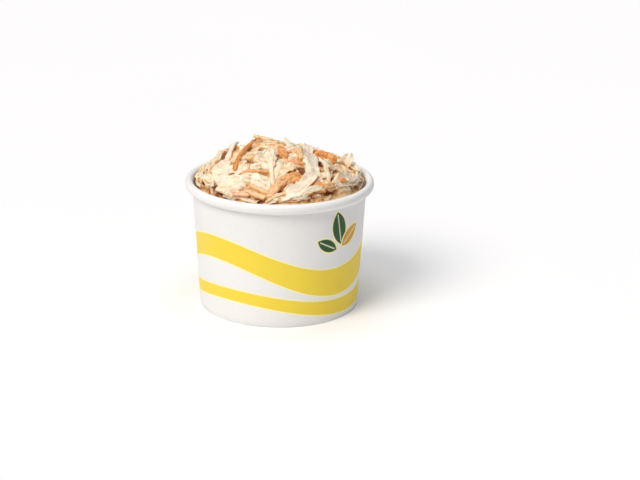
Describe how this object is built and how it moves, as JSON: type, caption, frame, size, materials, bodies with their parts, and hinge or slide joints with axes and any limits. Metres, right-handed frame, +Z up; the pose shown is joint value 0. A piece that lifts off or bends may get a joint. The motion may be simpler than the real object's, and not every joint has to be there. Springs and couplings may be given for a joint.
{
  "type": "tub of coleslaw",
  "caption": "Tapered round paper tub with a rolled rim, filled with a domed heap of dressed shredded cabbage and carrot.",
  "frame": {"origin": "middle of the tub's foot, at the surface that it stands on", "axes": "+Z up along the tub's axis, front of the heap towards -Y, +X to the right"},
  "size_m": [0.09, 0.09, 0.0798],
  "materials": {
    "coated_board": "paper board with a thin polyethylene coat, soft sheen",
    "dressed_vegetables": "wet creamy dressing over cabbage and carrot shreds"
  },
  "bodies": {
    "root": {"cup_sleeve": "coated_board", "cup_base": "coated_board", "coleslaw": "dressed_vegetables"}
  },
  "joints": []
}
